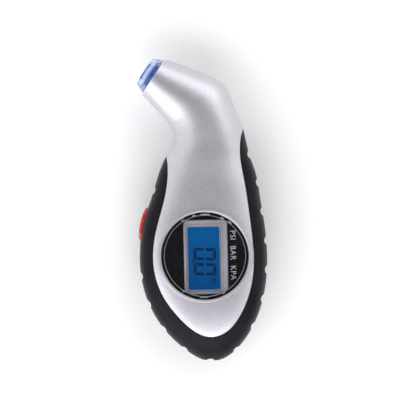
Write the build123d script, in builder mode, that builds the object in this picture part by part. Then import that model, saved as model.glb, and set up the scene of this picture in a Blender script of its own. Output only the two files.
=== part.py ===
"""Digital tire pressure gauge: a hand-held gauge with a bent neck, a light-up chuck, a round
display window, a side button and a rubber grip.

Frame, millimetres: the gauge lies on its back on z = 0 and its display faces +Z. The origin is
where the dial axis meets the rest face, +Y runs towards the neck, and the chuck bends to -X.
"""

from build123d import *
from math import atan2, cos, hypot, pi, radians, sin
import os

# ---- Dial and display stack --------------------------------------------------------------------
dial_radius = 19.1  # clear lens
silver_strip = 3.1  # painted shell left beside the dial
lens_gap = 0.2  # round the lens
lens_rim = 2.1  # lens thickness at its edge
lens_step = 0.25  # raised edge of the dome
lens_step_inset = 1.2  # lens edge to the raised edge
lens_dome = 1.1  # crown over the raised edge
lens_recess = 0.9  # collar top down to the lens rim
gasket_thickness = 0.6
gasket_width = 1.4
lens_ledge = 1.2  # thickness of the ledge that the lens seats on
collar_width = 1.5  # raised ring round the lens
collar_rise = 0.5  # collar over the crown of the shell
face_thickness = 2.2
face_gap = 0.2
rib_reach = 0.8
ribs_at = (  # turn and width in degrees, ribs that stop the gasket turning
    (90, 12),
    (105.5, 4),
    (122, 4),
    (65.5, 4),
    (53.5, 5),
    (269, 11),
    (239, 3),
    (297, 4),
)

frame_width = 19.1  # silver surround of the display
frame_length = 32.4
frame_corner = 2.2
frame_rise = 1.2  # over the dial face
frame_shift_x = 0.4
frame_shift_y = -0.5
frame_turn = 1.2  # degrees
window_width = 13.7
window_length = 27.3
window_corner = 0.8
window_shift_x = -0.8  # window centre against the surround's centre
window_shift_y = -0.5
window_bevel = 0.8
sleeve_inset = 1.0  # the surround's sleeve inside its flange

lcd_thickness = 2.2
lcd_border = 1.7  # glass beyond the window
holder_wall = 1.5
holder_lip = 0.6
fit_gap = 0.1  # between parts that drop into each other
backlight_thickness = 2.6
zebra_width = 1.5
zebra_end_gap = 1.2

# ---- Case ------------------------------------------------------------------------------------
grip_band = 5.8  # rubber seen beside the painted shell
tail_length = 46.5  # dial axis to the tail
shoulder_length = 50.0  # dial axis to where the neck starts to turn
rear_depth = 15.2  # rest face to the parting plane
rest_cut = 1.0  # how much of the rear crown the rest face cuts away
neck_shift = 1.9  # neck centre line beside the dial axis
neck_turn = 56.5  # degrees
neck_bend = 24.0  # radius of the neck's centre line
neck_straight = 16.4
neck_half_width = 15.4
neck_depth = 12.3  # half thickness where the neck starts
nozzle_end_radius = 9.5
grip_thickness = 2.2
wall = 2.0
seam = 0.25  # open seam between the grip and the painted shell
groove_pitch = 12.9
groove_radius = 2.4
groove_depth = 0.9
groove_start = 5.6  # from the shoulder, round the tail to the other side
groove_count = 16
grooves_left_out = (13, 14)  # where the button stands

# ---- Chuck -----------------------------------------------------------------------------------
stem_bore_radius = 4.1  # takes a 7.7 mm tire valve
stem_bore_length = 2.0
mouth_lead = 1.0
tip_length = 5.0
tip_base_radius = 8.9
tip_front_radius = 7.0
tip_round = 1.0
skirt_radius = 6.6
skirt_length = 9.5
tip_flange_radius = 7.7
tip_flange_start = 1.8
tip_flange_width = 1.5
seat_gap = 0.1
pocket_radius = 5.3
seal_thickness = 2.5
seal_hole_radius = 1.9
pin_radius = 1.1
pin_base_radius = 1.3
pin_base_length = 3.0
pin_flat = 1.6
pin_below_seal = 0.1
nipple_radius = 1.5
nipple_length = 6.5
nipple_passage = 0.8
ring_section = 0.4  # o-ring of the chuck core
ring_groove_depth = 0.8
ring_groove_width = 1.2
hose_outer_radius = 2.5
hose_x = 3.0
hose_bend = 15.0
clip_thickness = 0.6
clip_width = 2.5
led_radius = 1.0
led_length = 2.9
led_wire_radius = 0.45

# ---- Electronics -----------------------------------------------------------------------------
board_thickness = 1.2
board_drop = 1.8  # parting plane up to the board's underside
board_gap = 0.6  # board to the case
board_margin = 3.4  # board beyond its screws
board_screw_radius = 0.8
board_boss_radius = 2.2
board_screw_head = 1.8
board_screw_angles = (58, 122, 235, 305)
sensor_size = 8.0
sensor_y_inset = 1.0  # sensor body inside the board's top edge
chip_size = 8.0
chip_thickness = 1.1

# ---- Fasteners of the case -------------------------------------------------------------------
screw_radius = 1.1
screw_clearance = 0.2
screw_head_radius = 2.1
screw_head_height = 1.5
screw_post_radius = 3.0
screw_seat_depth = 6.0  # head seat below the parting plane
screw_bite = 6.5  # thread above the parting plane
shoulder_screw_y = 33.0
shoulder_screw_spread = 12.0
tail_screw_x = 2.9
tail_screw_y = -32.2

# ---- Button ----------------------------------------------------------------------------------
button_length = 14.5
button_height = 7.6
button_proud = 1.25
button_gap = 0.3
button_edge = 0.3  # ends of the button over the grip
button_round = 0.4
plunger_gap = 0.05  # button stem to the plunger
plunger_hole_gap = 0.3
button_flange = 1.0
button_flange_edge = 1.1
button_flange_depth = 3.5  # outside of the grip to the flange
button_travel = 0.8
stem_radius = 1.5
plunger_depth = 6.0  # outside of the grip to the plunger's end
plunger_radius = 0.9
plunger_reach = 1.3
plunger_bury = 1.2
switch_width = 6.0
switch_depth = 3.5

# ---- Battery ---------------------------------------------------------------------------------
cell_radius = 10.0
cell_thickness = 3.2
cell_y = -14.5
cell_gap = 0.4
cover_radius = 13.0
cover_gap = 0.3
cover_sink = 0.4
cover_flange = 1.8
plug_radius = 11.5
plug_height = 2.3
lug_reach = 1.2
lug_height = 1.1
lug_angle = 24.0
lug_count = 3
lug_gap = 0.1
cover_turn = 45.0
coin_slot_length = 14.0
coin_slot_width = 2.0
coin_slot_depth = 1.0
cover_ring_section = 0.4
cover_ring_proud = 0.1
bay_wall = 1.5
bay_roof = 1.0
contact_gap = 0.9  # roof over the cell
contact_width = 4.0
contact_thickness = 0.3

# ---- Heights, worked out from the stack ------------------------------------------------------
mid_z = rear_depth
board_z = mid_z + board_drop
board_top = board_z + board_thickness
glass_z = board_top + backlight_thickness + fit_gap
holder_top = glass_z + lcd_thickness + holder_lip
ledge_z = holder_top + face_thickness
lens_seat_z = ledge_z + lens_ledge
lens_z = lens_seat_z + gasket_thickness
collar_z = lens_z + lens_rim + lens_recess
crown_z = collar_z - collar_rise
front_depth = crown_z - mid_z
half_width = dial_radius + silver_strip + grip_band
far = 4 * (tail_length + shoulder_length)  # beyond every edge of the case

# ---- Shape of the case -----------------------------------------------------------------------
# Body stations: share of the tail or shoulder length, sideways shift, share of the half width,
# share of the half thickness, squareness of the section, share of the grip's thickness.
tail_shares = [
    (-0.981, 3.0, 0.200, 0.316, 2.0),
    (-0.914, 2.7, 0.371, 0.566, 2.2),
    (-0.806, 1.9, 0.557, 0.776, 2.4),
    (-0.645, 0.9, 0.750, 0.908, 2.7),
    (-0.430, 0.0, 0.907, 0.980, 3.0),
]
shoulder_shares = [
    (-0.160, -0.60, 0.995, 1.000, 3.2, 1.0),
    (0.060, -0.75, 1.002, 1.000, 3.2, 1.0),
    (0.280, -0.60, 0.960, 1.000, 3.1, 1.0),
    (0.500, 0.30, 0.864, 0.974, 2.9, 1.0),
    (0.720, 1.00, 0.771, 0.908, 2.6, 1.0),
    (0.860, 1.25, 0.678, 0.860, 2.5, 0.9),
]
button_station = 2  # of the shoulder stations
# Neck stations on the bend: share of the turn, inner and outer half width and half thickness as
# shares of the neck's, squareness, share of the grip's thickness.
neck_shares = [
    (0.000, 1.032, 1.071, 1.020, 2.4, 0.7),
    (0.212, 1.013, 0.994, 0.985, 2.3, 0.5),
    (0.469, 0.961, 0.958, 0.955, 2.2, 0.3),
    (0.690, 0.929, 1.026, 0.925, 2.1, 0.3),
    (1.000, 0.870, 0.864, 0.880, 2.0, 0.3),
]
section_points = 24
straight_steps = (0.67, 0.0, -0.49, -0.98, -1.47)  # sections of the straight neck and past it


def neck_point(turn):
    """Centre line of the neck's bend after a turn in degrees."""
    angle = radians(turn)
    return (
        neck_shift - neck_bend * (1 - cos(angle)),
        shoulder_length + neck_bend * sin(angle),
    )


bend_end = neck_point(neck_turn)
chuck_out = (-sin(radians(neck_turn)), cos(radians(neck_turn)))
chuck_side = (cos(radians(neck_turn)), sin(radians(neck_turn)))
nozzle_end = (
    bend_end[0] + chuck_out[0] * neck_straight,
    bend_end[1] + chuck_out[1] * neck_straight,
)


def along_neck(inward):
    """Centre of the straight neck at a distance in from its open end."""
    return nozzle_end[0] - chuck_out[0] * inward, nozzle_end[1] - chuck_out[1] * inward


def stations(grip_share, wall_share, run_on):
    """Sections of the case, set in by a share of the grip and of the wall.

    Each is centre, turn, inner and outer half width, front and rear half thickness, squareness.
    The neck runs on past its open end, by run_on more than the others, and is trimmed later.
    """
    rear_full = rear_depth + rest_cut
    full = grip_share * grip_thickness + wall_share * wall
    cap_y, _, cap_w, cap_h, _ = tail_shares[-1]
    cap_length = tail_length * (1 + cap_y)
    shrink_y = (cap_length - full) / cap_length
    shrink_w = (half_width * cap_w - full) / (half_width * cap_w)
    shrink_f = (front_depth * cap_h - full) / (front_depth * cap_h)
    shrink_r = (rear_full * cap_h - full) / (rear_full * cap_h)
    made = []
    for y, x, w, h, n in tail_shares:
        centre = (x, tail_length * (cap_y + (y - cap_y) * shrink_y))
        width = half_width * w * shrink_w
        front = front_depth * h * shrink_f
        rear = rear_full * h * shrink_r
        made.append((centre, 0, width, width, front, rear, n))
    for y, x, w, h, n, g in shoulder_shares:
        inset = g * grip_share * grip_thickness + wall_share * wall
        width = half_width * w - inset
        front = front_depth * h - inset
        rear = rear_full * h - inset
        made.append(((x, shoulder_length * y), 0, width, width, front, rear, n))
    for share, inner, outer, h, n, g in neck_shares:
        inset = g * grip_share * grip_thickness + wall_share * wall
        turn = share * neck_turn
        inside = neck_half_width * inner - inset
        outside = neck_half_width * outer - inset
        depth = neck_depth * h - inset
        made.append((neck_point(turn), turn, inside, outside, depth, depth, n))
    _, inner, outer, h, n, g = neck_shares[-1]
    inset = g * grip_share * grip_thickness + wall_share * wall
    for step in straight_steps:
        inward = neck_straight * step - (run_on if step < 0 else 0)
        blend = inward / neck_straight
        end = nozzle_end_radius
        width = end + (neck_half_width * (inner + outer) / 2 - end) * blend - inset
        depth = end + (neck_depth * h - end) * blend - inset
        made.append((along_neck(inward), neck_turn, width, width, depth, depth, n))
    return made


def section_outline(inner, outer, front, rear, squareness):
    """Points of a rounded section, a superellipse in each quarter."""
    points = []
    for i in range(section_points):
        angle = 2 * pi * i / section_points
        c, s = cos(angle), sin(angle)
        across = (outer if c >= 0 else -inner) * abs(c) ** (2 / squareness)
        up = (front if s >= 0 else -rear) * abs(s) ** (2 / squareness)
        points.append((across, up))
    return points


def case_form(grip_share=0.0, wall_share=0.0, run_on=0.0, gap=0.0):
    """The case's solid form, set in by shares of the grip and wall and by a gap."""
    sections = stations(grip_share, wall_share, run_on)
    tail_x = tail_shares[0][1]
    tail_y = -tail_length + grip_share * grip_thickness + wall_share * wall + gap
    with BuildPart() as form:
        outlines = [Vertex(tail_x, tail_y, mid_z)]
        for (x, y), turn, inner, outer, front, rear, n in sections:
            a = radians(turn)
            plane = Plane(
                origin=(x, y, mid_z), x_dir=(cos(a), sin(a), 0), z_dir=(sin(a), -cos(a), 0)
            )
            points = section_outline(inner - gap, outer - gap, front - gap, rear - gap, n)
            with BuildSketch(plane) as outline:
                with BuildLine():
                    Spline(*points, periodic=True)
                make_face()
            outlines.append(outline.sketch)
        loft(sections=outlines)
    return form.part


# The painted shell's edge against the grip, as shares of the dial's painted half width and of
# the tail or shoulder length, from the left tip round the tail to the right tip.
paint_half = dial_radius + silver_strip
paint_left = [
    (-0.800, 0.930),
    (-0.748, 0.720),
    (-0.806, 0.510),
    (-0.964, 0.240),
    (-1.036, 0.000),
    (-1.000, -0.172),
    (-0.851, -0.370),
    (-0.495, -0.598),
    (-0.180, -0.725),
]
paint_tail = (0.140, -0.770)
paint_right = [
    (0.459, -0.710),
    (0.662, -0.598),
    (0.878, -0.370),
    (0.973, -0.108),
    (0.955, 0.120),
    (0.878, 0.400),
    (0.788, 0.660),
    (0.703, 0.900),
    (0.721, 1.040),
    (0.790, 1.170),
]
right_tip_y = paint_right[-1][1] * shoulder_length


def paint_point(x, y):
    """A point of the painted shell's edge, in millimetres."""
    return x * paint_half, y * (shoulder_length if y > 0 else tail_length)


def moved_in(points, amount):
    """An edge's points moved to the left of the way it runs."""
    moved = []
    for i, (x, y) in enumerate(points):
        x0, y0 = points[max(i - 1, 0)]
        x1, y1 = points[min(i + 1, len(points) - 1)]
        length = hypot(x1 - x0, y1 - y0)
        moved.append((x - (y1 - y0) / length * amount, y + (x1 - x0) / length * amount))
    return moved


def paint_prism(shrink):
    """Prism of the painted area, with the whole neck, set in by shrink."""
    left = [paint_point(x, y) for x, y in paint_left]
    right = [paint_point(x, y) for x, y in paint_right]
    edge = moved_in([*left, paint_point(*paint_tail), *right], shrink)
    with BuildPart() as made:
        with BuildSketch(Plane.XY.offset(-far / 8)):
            with BuildLine():
                border = Spline(*edge)
                Polyline(
                    border @ 1,
                    (far / 4, right[-1][1] + 10),
                    (far / 4, far / 2),
                    (-far / 4, far / 2),
                    (-far / 4, left[0][1] + 10),
                    border @ 0,
                )
            make_face()
        extrude(amount=far / 2)
    return made.part


def grip_space(shrink, low):
    """The space outside the core and outside the painted area, set in by shrink."""
    top = right_tip_y + 15
    bottom = -tail_length - 5
    with BuildPart() as made:
        with BuildSketch(Plane.XY.offset(low)):
            with Locations((0, (top + bottom) / 2)):
                Rectangle(2 * half_width + 12, top - bottom)
        extrude(amount=far / 8)
        add([paint_prism(shrink), case_core], mode=Mode.SUBTRACT, clean=False)
    return made.part


def bore(centre, radius, low, high):
    """An upright cylinder between two heights."""
    with BuildPart() as made:
        with BuildSketch(Plane.XY.offset(low)):
            with Locations(centre):
                Circle(radius)
        extrude(amount=high - low)
    return made.part


case_outer = case_form()
case_core = case_form(grip_share=1.0, run_on=0.5)
case_cavity = case_form(grip_share=1.0, wall_share=1.0, run_on=1.0)

# ---- Places that several parts share ---------------------------------------------------------
elbow_turn = 0.690 * neck_turn
elbow_centre = neck_point(elbow_turn)
elbow_reach = 0.54 * neck_half_width
screw_spots = [
    (1.0 - shoulder_screw_spread, shoulder_screw_y),
    (1.0 + shoulder_screw_spread, shoulder_screw_y),
    (tail_screw_x, tail_screw_y),
    (
        elbow_centre[0] + elbow_reach * cos(radians(elbow_turn)),
        elbow_centre[1] + elbow_reach * sin(radians(elbow_turn)),
    ),
]
board_screw_reach = dial_radius + lens_gap + collar_width + board_boss_radius + 0.8
board_spots = [
    (board_screw_reach * cos(radians(a)), board_screw_reach * sin(radians(a)))
    for a in board_screw_angles
]
board_high_y = max(y for _, y in board_spots) + board_margin
board_low_y = min(y for _, y in board_spots) - board_margin
cell_centre = (0, cell_y)

before, at, after = (
    (shoulder_length * y, x - half_width * w)
    for y, x, w, *_ in shoulder_shares[button_station - 1 : button_station + 2]
)
button_tilt = atan2(after[1] - before[1], after[0] - before[0])
press = (cos(button_tilt), -sin(button_tilt), 0)


def button_plane(depth):
    """Plane across the press axis at a depth in from the outside of the grip."""
    return Plane(
        origin=(at[1] + press[0] * depth, at[0] + press[1] * depth, mid_z),
        x_dir=(sin(button_tilt), cos(button_tilt), 0),
        z_dir=(-press[0], -press[1], 0),
    )


def chuck_plane(outward, lift=0.0):
    """Plane across the chuck's axis at a distance out from the neck's open end."""
    return Plane(
        origin=(
            nozzle_end[0] + chuck_out[0] * outward,
            nozzle_end[1] + chuck_out[1] * outward,
            mid_z + lift,
        ),
        x_dir=(*chuck_side, 0),
        z_dir=(*chuck_out, 0),
    )


chuck_profile_plane = Plane(origin=(*nozzle_end, mid_z), x_dir=(*chuck_side, 0), z_dir=(0, 0, 1))
chuck_axis = Axis((*nozzle_end, mid_z), (*chuck_out, 0))


def chuck_turned(profile):
    """Solid of revolution about the chuck's axis from (radius, distance outward) points."""
    with BuildPart() as made:
        with BuildSketch(chuck_profile_plane):
            with BuildLine():
                Polyline(*profile, close=True)
            make_face()
        revolve(axis=chuck_axis)
    return made.part


def oval_prism(length, height, corner_gap, start, end):
    """Prism with an oval section along the press axis, between two depths."""
    with BuildPart() as made:
        with BuildSketch(button_plane(end)):
            SlotOverall(length + 2 * corner_gap, height + 2 * corner_gap)
        extrude(amount=end - start)
    return made.part


def flange_pocket(extra, start, end):
    """Box round the button's flange, between two depths."""
    edge = 2 * (button_flange_edge + extra)
    with BuildPart() as made:
        with BuildSketch(button_plane(end)):
            RectangleRounded(
                button_length + edge, button_height + edge, button_height / 2
            )
        extrude(amount=end - start)
    return made.part


# ---- Shells and grip -------------------------------------------------------------------------
flange_back = tip_flange_start + tip_flange_width
seat_cut = chuck_turned(
    [
        (0, -skirt_length - 0.5),
        (skirt_radius + seat_gap, -skirt_length - 0.5),
        (skirt_radius + seat_gap, -flange_back - seat_gap),
        (tip_flange_radius + seat_gap, -flange_back - seat_gap),
        (tip_flange_radius + seat_gap, -tip_flange_start + seat_gap),
        (skirt_radius + seat_gap, -tip_flange_start + seat_gap),
        (skirt_radius + seat_gap, far / 20),
        (0, far / 20),
    ]
)

with BuildPart() as neck_room:
    add(case_cavity)
    split(bisect_by=chuck_plane(-skirt_length), keep=Keep.BOTTOM)

with BuildPart() as shell_blank:
    add(case_outer)
    split(bisect_by=chuck_plane(0), keep=Keep.BOTTOM)
    add([grip_space(seam, -5), neck_room.part, seat_cut], mode=Mode.SUBTRACT, clean=False)

button_hole = oval_prism(button_length, button_height, button_gap, -4, button_flange_depth + 1)
button_room = flange_pocket(
    button_gap, button_flange_depth - 0.05, plunger_depth + plunger_reach + switch_depth
)
head_seat = mid_z - screw_seat_depth
cover_z = cover_sink + cover_flange  # inner face of the cover's flange
shelf_low = cover_z + lug_gap
shelf_high = cover_z + plug_height - lug_height - lug_gap
groove_high = cover_z + plug_height + 0.3
lug_radius = plug_radius + lug_reach
cell_z = cover_z + plug_height + 0.2
bay_high = cell_z + cell_thickness + contact_gap - 0.2
bay_top = bay_high + bay_roof
side_contact_y = cell_y + cell_radius
spring_contact_y = cell_y + cell_radius / 2
contact_top = bay_top + 1.0


def wedge(reach, width, turn, low, high):
    """A pie slice about the battery's axis, between two heights."""
    corners = [(0, 0)]
    for step in range(5):
        a = radians(turn + width * (step / 4 - 0.5))
        corners.append((reach * cos(a), reach * sin(a)))
    with BuildPart() as made:
        with BuildSketch(Plane.XY.offset(low)):
            with Locations(cell_centre):
                Polygon(*corners, align=None)
        extrude(amount=high - low)
    return made.part


def block(centre, length, width, low, high, turn=0.0):
    """An upright box between two heights."""
    with BuildPart() as made:
        with BuildSketch(Plane.XY.offset(low)):
            with Locations(Location((*centre, 0), (0, 0, turn))):
                Rectangle(length, width)
        extrude(amount=high - low)
    return made.part


with BuildPart() as rear_posts:
    with BuildSketch():
        with Locations(*screw_spots):
            Circle(screw_post_radius)
    extrude(amount=mid_z)
    with BuildSketch():
        with Locations(cell_centre):
            Circle(lug_radius + 0.2 + bay_wall)
    extrude(amount=bay_top)
    add(case_core, mode=Mode.INTERSECT, clean=False)

rear_cuts = [button_hole, button_room]
for spot in screw_spots:
    rear_cuts.append(bore(spot, screw_radius + screw_clearance, -1, mid_z + 1))
    rear_cuts.append(bore(spot, screw_head_radius + screw_clearance, -1, head_seat))
rear_cuts.append(bore(cell_centre, cover_radius + cover_gap, -1, shelf_low))
rear_cuts.append(bore(cell_centre, plug_radius + cover_gap, shelf_low - 0.5, groove_high))
rear_cuts.append(bore(cell_centre, lug_radius + cover_gap, shelf_high, groove_high))
rear_cuts.append(bore(cell_centre, cell_radius + cell_gap, groove_high - 0.5, bay_high))
for k in range(lug_count):
    turn = k * 360 / lug_count - cover_turn
    entry = wedge(lug_radius + cover_gap, lug_angle + 4, turn, shelf_low - 0.5, shelf_high + 0.5)
    rear_cuts.append(entry)
slot_width = contact_width + 0.2
rear_cuts.append(
    block((0, spring_contact_y), slot_width, contact_thickness + 0.2, bay_high - 1, bay_top + 1)
)
rear_cuts.append(
    block(
        (0, side_contact_y + contact_thickness / 2),
        slot_width,
        contact_thickness + 0.1,
        cell_z,
        bay_top + 1,
    )
)

with BuildPart() as rear_shell:
    add(shell_blank.part)
    split(bisect_by=Plane.XY.offset(mid_z), keep=Keep.BOTTOM)
    split(bisect_by=Plane.XY, keep=Keep.TOP)
    add(rear_posts.part, clean=False)
    add(rear_cuts, mode=Mode.SUBTRACT, clean=False)

lens_pocket = dial_radius + lens_gap
face_pocket = dial_radius
ledge_radius = lens_pocket - gasket_width - 0.3
collar_outer = lens_pocket + collar_width
with BuildPart() as front_adds:
    with BuildSketch(Plane.XY.offset(mid_z)):
        with Locations(*screw_spots):
            Circle(screw_post_radius)
    extrude(amount=front_depth)
    with BuildSketch(Plane.XY.offset(board_top)):
        with Locations(*board_spots):
            Circle(board_boss_radius)
    extrude(amount=front_depth)
    add(case_core, mode=Mode.INTERSECT, clean=False)

with BuildPart() as collar:
    with BuildSketch(Plane.XZ):
        with BuildLine():
            Polyline(
                (0, holder_top + fit_gap),
                (collar_outer, holder_top + fit_gap),
                (collar_outer, lens_seat_z - 0.5),
                (collar_outer + 0.9, lens_seat_z),
                (lens_pocket + 0.75, collar_z),
                (0, collar_z),
                close=True,
            )
        make_face()
    revolve(axis=Axis.Z)

with BuildPart() as dial_opening:
    with BuildSketch(Plane.XZ):
        with BuildLine():
            Polyline(
                (0, mid_z + board_drop),
                (dial_radius - 1.5, mid_z + board_drop),
                (dial_radius - 1.5, holder_top),
                (face_pocket, holder_top),
                (face_pocket, ledge_z),
                (ledge_radius, ledge_z),
                (ledge_radius, lens_seat_z),
                (lens_pocket, lens_seat_z),
                (lens_pocket, collar_z - 0.45),
                (lens_pocket + 0.45, collar_z),
                (lens_pocket + 0.45, collar_z + 5),
                (0, collar_z + 5),
                close=True,
            )
        make_face()
    revolve(axis=Axis.Z)


def ring_sector(inner, outer, width, turn, low, high):
    """A slice of an upright ring about the dial's axis."""
    half = radians(width / 2)
    inside, outside = [], []
    for step in range(5):
        a = radians(turn) + half * (step / 2 - 1)
        outside.append((outer * cos(a), outer * sin(a)))
        inside.insert(0, (inner * cos(a), inner * sin(a)))
    with BuildPart() as made:
        with BuildSketch(Plane.XY.offset(low)):
            Polygon(*outside, *inside, align=None)
        extrude(amount=high - low)
    return made.part


rib_height = gasket_thickness - fit_gap
front_cuts = [dial_opening.part, button_hole, button_room]
for spot in screw_spots:
    front_cuts.append(bore(spot, screw_radius, mid_z - 1, mid_z + screw_bite + 0.5))
for spot in board_spots:
    front_cuts.append(bore(spot, board_screw_radius, board_z, board_top + 4.5))
ribs = []
for turn, width in ribs_at:
    ribs.append(
        ring_sector(
            ledge_radius, ledge_radius + rib_reach, width, turn, lens_seat_z - 0.3,
            lens_seat_z + rib_height,
        )
    )

with BuildPart() as front_shell:
    add(shell_blank.part)
    split(bisect_by=Plane.XY.offset(mid_z), keep=Keep.TOP)
    add([front_adds.part, collar.part], clean=False)
    add(front_cuts, mode=Mode.SUBTRACT, clean=False)
    add(ribs, clean=False)

# Grooves stand at even steps along the widest outline of the body.
outline = [(neck_shift + neck_half_width * neck_shares[0][2], shoulder_length)]
for y, x, w, *_ in reversed(shoulder_shares):
    outline.append((x + half_width * w, shoulder_length * y))
for y, x, w, *_ in reversed(tail_shares):
    outline.append((x + half_width * w, tail_length * y))
outline.append((tail_shares[0][1], -tail_length))
for y, x, w, *_ in tail_shares:
    outline.append((x - half_width * w, tail_length * y))
for y, x, w, *_ in shoulder_shares:
    outline.append((x - half_width * w, shoulder_length * y))
with BuildLine() as outline_path:
    Spline(*outline)
path = outline_path.edge()

grip_grooves = []
for k in range(groove_count):
    if k not in grooves_left_out:
        along = groove_start + k * groove_pitch
        spot = path.position_at(along, position_mode=PositionMode.LENGTH)
        run = path.tangent_at(along, position_mode=PositionMode.LENGTH)
        out = groove_radius - groove_depth
        centre = (spot.X - run.Y * out, spot.Y + run.X * out)
        grip_grooves.append(bore(centre, groove_radius, -far / 16, far / 8))

with BuildPart() as rubber_grip:
    add(case_outer)
    add(grip_space(0, 0), mode=Mode.INTERSECT, clean=False)
    add([*grip_grooves, button_hole], mode=Mode.SUBTRACT, clean=False)

with BuildPart() as case_screws:
    with BuildSketch(Plane.XY.offset(head_seat - screw_head_height)):
        with Locations(*screw_spots):
            Circle(screw_head_radius)
    extrude(amount=screw_head_height)
    with BuildSketch(Plane.XY.offset(head_seat)):
        with Locations(*screw_spots):
            Circle(screw_radius)
    extrude(amount=screw_seat_depth + screw_bite)
    with BuildSketch(Plane.XY.offset(head_seat - screw_head_height)):
        with Locations(*screw_spots):
            Rectangle(screw_head_radius * 1.3, screw_head_radius * 0.25)
            Rectangle(screw_head_radius * 0.25, screw_head_radius * 1.3)
    extrude(amount=screw_head_height * 0.6, mode=Mode.SUBTRACT)

# ---- Display ---------------------------------------------------------------------------------
frame_spot = Location((frame_shift_x, frame_shift_y, 0), (0, 0, frame_turn))
window_spot = frame_spot * Location((window_shift_x, window_shift_y, 0))
glass_width = window_width + 2 * lcd_border
glass_length = window_length + 2 * lcd_border
holder_width = glass_width + 2 * (fit_gap + holder_wall)
holder_length = glass_length + 2 * (fit_gap + holder_wall)
sleeve_width = frame_width - 2 * sleeve_inset
sleeve_length = frame_length - 2 * sleeve_inset
dome_z = lens_z + lens_rim + lens_step
dome_edge = dial_radius - lens_step_inset - lens_step
dome_curve = (dome_edge**2 + lens_dome**2) / (2 * lens_dome)  # radius of the dome's sphere
dome_middle = dome_z + lens_dome - dome_curve + (dome_curve**2 - dome_edge**2 / 4) ** 0.5

with BuildPart() as dial_lens:
    with BuildSketch(Plane.XZ):
        with BuildLine():
            Polyline(
                (0, dome_z),
                (0, lens_z),
                (dial_radius, lens_z),
                (dial_radius, lens_z + lens_rim - 0.3),
                (dial_radius - 0.3, lens_z + lens_rim),
                (dial_radius - lens_step_inset, lens_z + lens_rim),
                (dome_edge, dome_z),
            )
            ThreePointArc((dome_edge, dome_z), (dome_edge / 2, dome_middle), (0, dome_z + lens_dome))
            Line((0, dome_z + lens_dome), (0, dome_z))
        make_face()
    revolve(axis=Axis.Z)

gasket_inner = dial_radius - gasket_width
with BuildPart() as lens_gasket:
    with BuildSketch(Plane.XY.offset(lens_seat_z)):
        Circle(dial_radius)
        Circle(gasket_inner, mode=Mode.SUBTRACT)
    extrude(amount=gasket_thickness)
    for turn, width in ribs_at:
        notch = ring_sector(
            gasket_inner - 1, ledge_radius + rib_reach + fit_gap, width + 1, turn,
            lens_seat_z - 1, lens_z + 1,
        )
        add(notch, mode=Mode.SUBTRACT)

with BuildPart() as dial_face:
    with BuildSketch(Plane.XY.offset(holder_top)):
        Circle(dial_radius - face_gap)
        with Locations(frame_spot):
            Rectangle(sleeve_width + 2 * fit_gap, sleeve_length + 2 * fit_gap, mode=Mode.SUBTRACT)
    extrude(amount=face_thickness)

with BuildPart() as lcd_frame:
    with BuildSketch(Plane.XY.offset(holder_top + fit_gap)):
        with Locations(frame_spot):
            Rectangle(sleeve_width, sleeve_length)
    extrude(amount=face_thickness - fit_gap)
    with BuildSketch(Plane.XY.offset(ledge_z)):
        with Locations(frame_spot):
            RectangleRounded(frame_width, frame_length, frame_corner)
    extrude(amount=frame_rise)
    chamfer(faces().sort_by(Axis.Z)[-1].edges(), length=0.35)
    with BuildSketch(Plane.XY.offset(holder_top)):
        Circle(ledge_radius - fit_gap)
    extrude(amount=face_thickness + frame_rise, mode=Mode.INTERSECT)
    with BuildSketch(Plane.XY.offset(holder_top)):
        with Locations(window_spot):
            RectangleRounded(window_width, window_length, window_corner)
    extrude(amount=face_thickness + frame_rise, mode=Mode.SUBTRACT)
    with BuildSketch(Plane.XY.offset(ledge_z + frame_rise)):
        with Locations(window_spot):
            RectangleRounded(
                window_width + 2 * window_bevel,
                window_length + 2 * window_bevel,
                window_corner + window_bevel,
            )
    extrude(amount=-window_bevel * 1.6, taper=32, mode=Mode.SUBTRACT)

with BuildPart() as lcd_holder:
    with BuildSketch(Plane.XY.offset(board_top)):
        with Locations(window_spot):
            Rectangle(holder_width, holder_length)
    extrude(amount=holder_top - board_top)
    fillet(edges().filter_by(Axis.Z), radius=1.0)
    with BuildSketch(Plane.XY.offset(board_top)):
        with Locations(window_spot):
            Rectangle(glass_width + 2 * fit_gap, glass_length + 2 * fit_gap)
    extrude(amount=glass_z + lcd_thickness - board_top, mode=Mode.SUBTRACT)
    with BuildSketch(Plane.XY.offset(board_top)):
        with Locations(window_spot):
            Rectangle(window_width + 1.0, window_length + 1.0)
    extrude(amount=holder_top - board_top, mode=Mode.SUBTRACT)

with BuildPart() as lcd_glass:
    with BuildSketch(Plane.XY.offset(glass_z)):
        with Locations(window_spot):
            Rectangle(glass_width, glass_length)
    extrude(amount=lcd_thickness)
    chamfer(edges().group_by(Axis.Z)[-1], length=0.15)

strip_x = glass_width / 2 - zebra_width / 2 - fit_gap
with BuildPart() as zebra_strips:
    with BuildSketch(Plane.XY.offset(board_top)):
        with Locations(window_spot):
            with Locations((-strip_x, 0), (strip_x, 0)):
                Rectangle(zebra_width, glass_length - 2 * zebra_end_gap)
    extrude(amount=glass_z - board_top)

guide_width = 2 * (strip_x - zebra_width / 2 - 2 * fit_gap)
guide_length = glass_length - 2 * zebra_end_gap - 2.0
with BuildPart() as backlight_guide:
    with BuildSketch(Plane.XY.offset(board_top)):
        with Locations(window_spot * Location((0, -1.0, 0))):
            Rectangle(guide_width, guide_length)
    extrude(amount=backlight_thickness)

with BuildPart() as backlight_led:
    with BuildSketch(Plane.XY.offset(board_top)):
        with Locations(window_spot * Location((0, guide_length / 2 + 0.1, 0))):
            Rectangle(3.0, 1.4)
    extrude(amount=1.4)

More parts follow.
